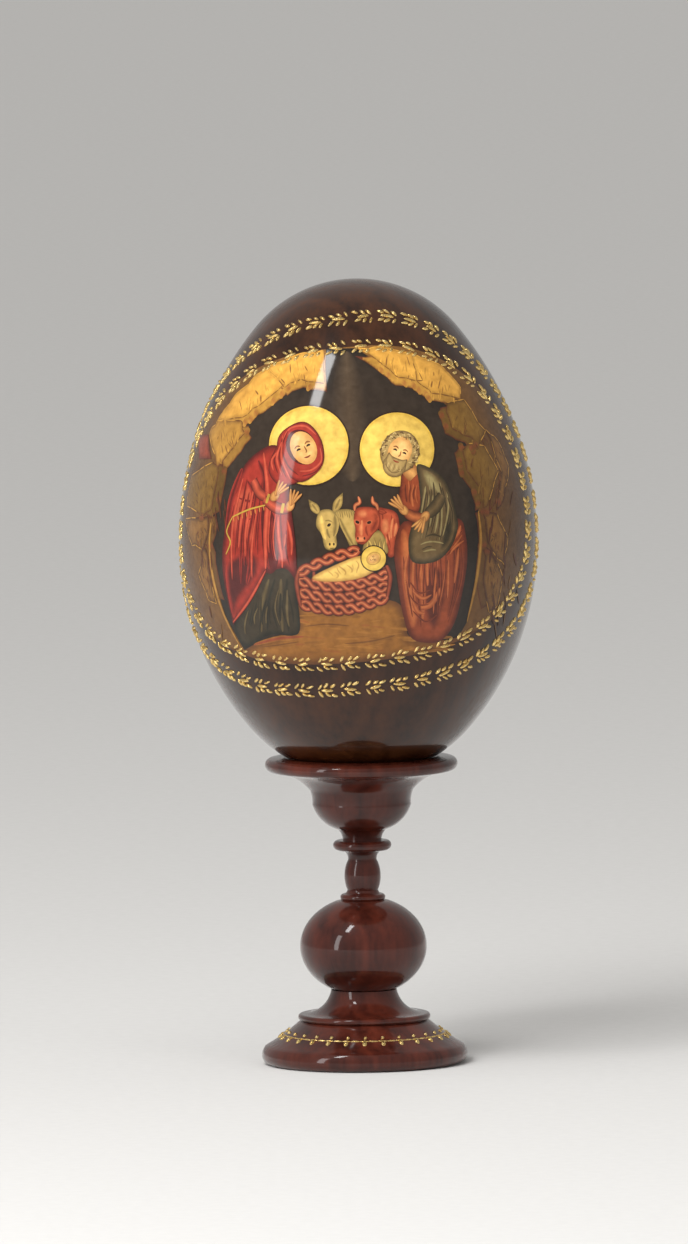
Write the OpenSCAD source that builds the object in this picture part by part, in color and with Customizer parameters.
// A lacquered wooden icon egg that stands loose in a turned wooden stand.
// Millimetres, +Z up. The origin is the centre of the foot's underside, and the picture faces -Y.

/* [Egg] */
// Width of the egg at its widest
egg_width = 71.5; // [68:0.5:74]
// Height of the egg
egg_height = 100; // [96:1:106]
// Share of the height that lies below the widest level
egg_low_share = 0.47; // [0.46:0.01:0.49]
// Radius of the egg's pointed upper end
egg_top_radius = 26; // [24:0.5:28]
// Radius of the egg's blunt lower end
egg_bottom_radius = 29; // [28:0.5:31]

/* [Picture] */
// Thickness of the printed sheet, which lies flush in the lacquer
sheet_thick = 0.2; // [0.15:0.05:0.4]
// Height of the picture
picture_height = 62; // [56:0.5:64]
// Height of the picture's centre above the egg's widest level
picture_rise = 9.8; // [8:0.2:11]
// Half of the picture's width, in degrees round the egg
picture_half_turn = 78; // [70:1:80]
// Angle from the front to the picture's centre
picture_turn = -6; // [-20:1:20]
// How far the picture and its gold rows lean, right end up
picture_tilt = 3.5; // [0:0.5:5]
// How square the ovals are: 2 is an ellipse
oval_power = 2.6; // [2:0.1:3]

/* [Gold rows] */
// Height of the outer gold row
outer_row_height = 73; // [72:0.5:77]
// Half of the outer row's width, in degrees round the egg
outer_row_half_turn = 92; // [88:1:96]
// Distance from one sprig to the next on the egg
sprig_pitch = 4.9; // [4.6:0.1:6]
// Length of a sprig on the egg
sprig_length = 4.1; // [3.4:0.1:4.3]
// Width of one leaf of a sprig
leaf_width = 0.9; // [0.6:0.05:1.1]
// How far the gold stands proud of the lacquer
gold_proud = 0.35; // [0.2:0.05:0.5]
// How far the gold's root is bonded into the lacquer
gold_root = 0.15; // [0.1:0.05:0.2]
// Number of sprigs round the foot
foot_sprigs = 28; // [24:1:30]

/* [Stand] */
// Radius of the cup's rim
rim_radius = 19.3; // [18.8:0.1:20]
// Height of the cup's rim above the table
rim_height = 61.2; // [60:0.2:63]
// Radius of the ring that the egg sits on
seat_radius = 15.5; // [14:0.5:16]
// Depth of the dish below the seat ring
dish_depth = 5.3; // [5:0.1:5.8]
// Clearance between the egg and the seat ring
seat_gap = 0.2; // [0.1:0.05:0.3]
// Radius of the foot
foot_radius = 20.6; // [20.2:0.1:22]
// Radius of the ball on the spindle
ball_radius = 12.7; // [12:0.1:13.5]
// Radius of the glued pegs at both ends of the spindle
peg_radius = 2.4; // [2:0.1:2.6]
// Glue gap round each peg
glue_gap = 0.1; // [0.05:0.05:0.15]

/* [Hidden] */
$fn = 128;

lacquer_red = "#4a1712";
picture_ochre = "#c99b45";
gold = "#d9ae3c";

// The egg is two ovals that meet at the widest level. Each is a side arc and an end arc.
egg_radius = egg_width / 2;
low_height = egg_height * egg_low_share;
top_height = egg_height - low_height;
function side_radius(height, end_radius) =
    (egg_radius ^ 2 + (height - end_radius) ^ 2 - end_radius ^ 2) / (2 * (egg_radius - end_radius));
function joint_level(height, end_radius) =
    let (centre = height - end_radius)
    centre + end_radius * centre / (side_radius(height, end_radius) - end_radius);

// Radius of one oval at a level above the widest, and the steepness of its outward normal there
function oval_radius(level, height, end_radius) =
    let (side = side_radius(height, end_radius))
    level < joint_level(height, end_radius)
        ? egg_radius - side + sqrt(side ^ 2 - level ^ 2)
        : sqrt(max(0, end_radius ^ 2 - (level - height + end_radius) ^ 2));
function oval_normal(level, height, end_radius) =
    level < joint_level(height, end_radius)
        ? asin(level / side_radius(height, end_radius))
        : asin((level - height + end_radius) / end_radius);
function egg_radius_at(level) = level >= 0
    ? oval_radius(level, top_height, egg_top_radius)
    : oval_radius(-level, low_height, egg_bottom_radius);
function egg_normal_at(level) = level >= 0
    ? oval_normal(level, top_height, egg_top_radius)
    : -oval_normal(-level, low_height, egg_bottom_radius);

// Heights of the stand's stations, from the table up
spindle_foot = 14.6;
collar_top = 44.6;
peg_length = 6;
seat_height = rim_height + 0.3;
egg_end_centre = seat_height + seat_gap + sqrt(egg_bottom_radius ^ 2 - seat_radius ^ 2);
widest_level = egg_end_centre - egg_bottom_radius + low_height;
dish_radius = (seat_radius ^ 2 + dish_depth ^ 2) / (2 * dish_depth);

// Points from a to b on an arc that bulges outward by the given amount; b itself is left out
arc_steps = 8;
function arc(a, b, bulge) =
    let (run = b - a, chord = norm(run), along = run / chord, out = [along[1], -along[0]],
         sweep = 4 * atan(2 * bulge / chord), radius = chord / (2 * sin(sweep / 2)))
    [for (i = [0 : arc_steps - 1])
        let (turn = sweep * (i / arc_steps - 0.5))
        (a + b) / 2 + along * radius * sin(turn) + out * radius * (cos(turn) - cos(sweep / 2))];

// Points on an ellipse round the axis, from one angle to another
function round_belly(radius, level, half_height, from, to, steps = 20) =
    [for (i = [0 : steps])
        let (turn = from + (to - from) * i / steps)
        [radius * cos(turn), level + half_height * sin(turn)]];

// The oval rows: place 0 to 360 round an oval gives [angle round the egg, level]
degree_length = PI * egg_radius / 180;
function power_of(value, power) = sign(value) * abs(value) ^ power;
function oval_place(place, half_turn, half_height) =
    let (sideways = half_turn * degree_length * power_of(cos(place), 2 / oval_power),
         upward = half_height * power_of(sin(place), 2 / oval_power),
         tilted = [sideways * cos(picture_tilt) - upward * sin(picture_tilt),
                   sideways * sin(picture_tilt) + upward * cos(picture_tilt)])
    [picture_turn + tilted[0] / degree_length, picture_rise + tilted[1]];
function egg_point(at) =
    [egg_radius_at(at[1]) * sin(at[0]), -egg_radius_at(at[1]) * cos(at[0]), at[1]];
function walk(half_turn, half_height, step = 2) =
    [for (place = 0, gone = 0, here = egg_point(oval_place(0, half_turn, half_height));
          place <= 360;
          place = place + step,
          there = egg_point(oval_place(place, half_turn, half_height)),
          gone = gone + norm(there - here),
          here = there)
        [gone, place]];

// The foot's sloping side, slightly hollow, and the bead above it
foot_slope_low = [foot_radius - 0.7, 3.4];
foot_slope_high = [12.8, 8.5];
foot_slope_dip = -0.25;

module egg_half(height, end_radius, inset) {
    side = side_radius(height, end_radius);
    level = joint_level(height, end_radius);
    intersection() {
        translate([egg_radius - side, 0]) circle(side - inset, $fn = 256);
        square([egg_radius, level]);
    }
    intersection() {
        translate([0, height - end_radius]) circle(end_radius - inset);
        translate([0, level]) square([egg_radius, height]);
    }
}

// The whole egg, or the egg less a skin of the given thickness
module egg_solid(inset = 0) {
    translate([0, 0, widest_level]) rotate_extrude() {
        egg_half(top_height, egg_top_radius, inset);
        mirror([0, 1]) egg_half(low_height, egg_bottom_radius, inset);
    }
}

// The picture's outline, pushed through the front of the egg
module picture_window() {
    reach = egg_width;
    clear = 2;
    outline = [for (place = [0 : 5 : 355])
        let (at = oval_place(place, picture_half_turn, picture_height / 2))
        [egg_radius_at(at[1]) * sin(at[0] - picture_turn), widest_level + at[1]]];
    rotate([0, 0, picture_turn]) translate([0, -clear, 0]) rotate([90, 0, 0])
        linear_extrude(reach) polygon(outline);
}

module print_sheet() {
    intersection() {
        difference() {
            egg_solid();
            egg_solid(sheet_thick);
        }
        picture_window();
    }
}

// Sets its child on the egg's surface, with the child's +Z outward and +X along the heading
module on_egg(at, heading) {
    translate([0, 0, widest_level]) rotate([0, 0, at[0]])
        translate([0, -egg_radius_at(at[1]), at[1]])
            rotate([90 - egg_normal_at(at[1]), 0, 0]) rotate([0, 0, heading])
                children();
}

module leaf(length, width) {
    bend = (length ^ 2 + width ^ 2) / (4 * width);
    intersection() {
        translate([0, bend - width / 2]) circle(bend);
        translate([0, width / 2 - bend]) circle(bend);
    }
}

// A small gold sprig: one leaf along the row and two across it
module sprig(length, width) {
    cross_share = 0.8;
    translate([0, 0, -gold_root]) linear_extrude(gold_root + gold_proud) {
        leaf(length, width);
        rotate([0, 0, 58]) leaf(length * cross_share, width);
        rotate([0, 0, -58]) leaf(length * cross_share, width);
    }
}

// Sprigs at an even pitch all the way round an oval
module sprig_row(half_turn, half_height) {
    trip = walk(half_turn, half_height);
    whole = trip[len(trip) - 1][0];
    count = round(whole / sprig_pitch);
    nudge = 0.5;
    for (k = [0 : count - 1]) {
        place = lookup(whole * k / count, trip);
        at = oval_place(place, half_turn, half_height);
        before = oval_place(place - nudge, half_turn, half_height);
        after = oval_place(place + nudge, half_turn, half_height);
        sideways = egg_radius_at(at[1]) * (after[0] - before[0]) * PI / 180;
        upward = (after[1] - before[1]) / cos(egg_normal_at(at[1]));
        on_egg(at, atan2(upward, sideways)) sprig(sprig_length, leaf_width);
    }
}

module egg_body() {
    color(lacquer_red) difference() {
        egg_solid();
        print_sheet();
    }
}

module icon_print() {
    color(picture_ochre) print_sheet();
}

module picture_garland() {
    color(gold) sprig_row(picture_half_turn, picture_height / 2);
}

module outer_garland() {
    color(gold) sprig_row(outer_row_half_turn, outer_row_height / 2);
}

// A blind hole for a glued peg
module peg_hole(low, high) {
    translate([0, 0, low]) cylinder(h = high - low, r = peg_radius + glue_gap);
}

module stand_cup() {
    neck = 3.9;
    bead_low = [rim_radius - 1.2, rim_height - 2.6];
    bead_high = [rim_radius - 1, rim_height];
    outline = concat(
        [[0, collar_top]],
        arc([neck, collar_top], [neck + 1, collar_top + 2.2], -0.25),
        arc([neck + 1, collar_top + 2.2], [9.9, collar_top + 7.2], 0.9),
        arc([9.9, collar_top + 7.2], [10.4, collar_top + 10.2], -0.2),
        arc([10.4, collar_top + 10.2], bead_low, -0.9),
        arc(bead_low, bead_high, 1.1),
        [bead_high, [seat_radius + 1, seat_height], [0, seat_height]]);
    color(lacquer_red) difference() {
        rotate_extrude() polygon(outline);
        translate([0, 0, seat_height - dish_depth + dish_radius]) sphere(dish_radius);
        peg_hole(collar_top - 1, collar_top + peg_length);
    }
}

module stand_spindle() {
    ball_level = 23.3;
    ball_half = 10;
    bead = [4.3, 32.6];
    bead_top = [3.6, 33.8];
    waist = [2.9, 40.6];
    collar = [4.9, 42.6];
    collar_high = [4.9, collar_top];
    foot_angle = asin((spindle_foot - ball_level) / ball_half);
    bead_angle = asin((bead[1] - 0.2 - ball_level) / ball_half);
    outline = concat(
        [[0, spindle_foot]],
        round_belly(ball_radius, ball_level, ball_half, foot_angle, bead_angle),
        arc(bead, bead_top, 0.55),
        arc(bead_top, [3.1, 34.6], -0.1),
        arc([3.1, 34.6], waist, 0.65),
        arc(waist, [3.7, 42.4], -0.3),
        [[3.7, 42.4]],
        arc(collar, collar_high, 0.95),
        [collar_high, [0, collar_top]]);
    color(lacquer_red) {
        rotate_extrude() polygon(outline);
        translate([0, 0, spindle_foot - peg_length]) cylinder(h = peg_length + 1, r = peg_radius);
        translate([0, 0, collar_top - 1]) cylinder(h = peg_length, r = peg_radius);
    }
}

module base_solid() {
    ring_low = [foot_slope_high[0] - 0.1, foot_slope_high[1]];
    ring_high = [12.6, 9.8];
    outline = concat(
        [[0, 0]],
        arc([foot_radius - 0.9, 0], [foot_radius, 1.5], 0.25),
        arc([foot_radius, 1.5], foot_slope_low, 0.2),
        arc(foot_slope_low, foot_slope_high, foot_slope_dip),
        arc(ring_low, ring_high, 0.62),
        arc(ring_high, [6.6, spindle_foot], -1.5),
        [[6.6, spindle_foot], [0, spindle_foot]]);
    rotate_extrude() polygon(outline);
}

module stand_base() {
    color(lacquer_red) difference() {
        base_solid();
        peg_hole(spindle_foot - peg_length - 0.5, spindle_foot + 1);
    }
}

// A gold line round the foot's slope with a small cross at each sprig
module foot_garland() {
    slope = foot_slope_high - foot_slope_low;
    steepness = atan2(-slope[0], slope[1]);
    middle = arc(foot_slope_low, foot_slope_high, foot_slope_dip)[arc_steps / 2];
    line_width = 0.45;
    line_proud = 0.15;
    cross_proud = 0.25;
    color(gold) {
        rotate_extrude() translate(middle) rotate([0, 0, steepness])
            translate([-gold_root, -line_width / 2]) square([gold_root + line_proud, line_width]);
        for (k = [0 : foot_sprigs - 1])
            rotate([0, 0, 360 * k / foot_sprigs]) translate([0, -middle[0], middle[1]])
                rotate([90 - steepness, 0, 0]) translate([0, 0, -gold_root])
                    linear_extrude(gold_root + cross_proud) {
                        translate([0, -0.2]) rotate([0, 0, 90]) leaf(3.4, 0.75);
                        translate([0, 0.9]) leaf(1.6, 0.6);
                    }
    }
}

egg_body();
icon_print();
picture_garland();
outer_garland();
stand_cup();
stand_spindle();
stand_base();
foot_garland();
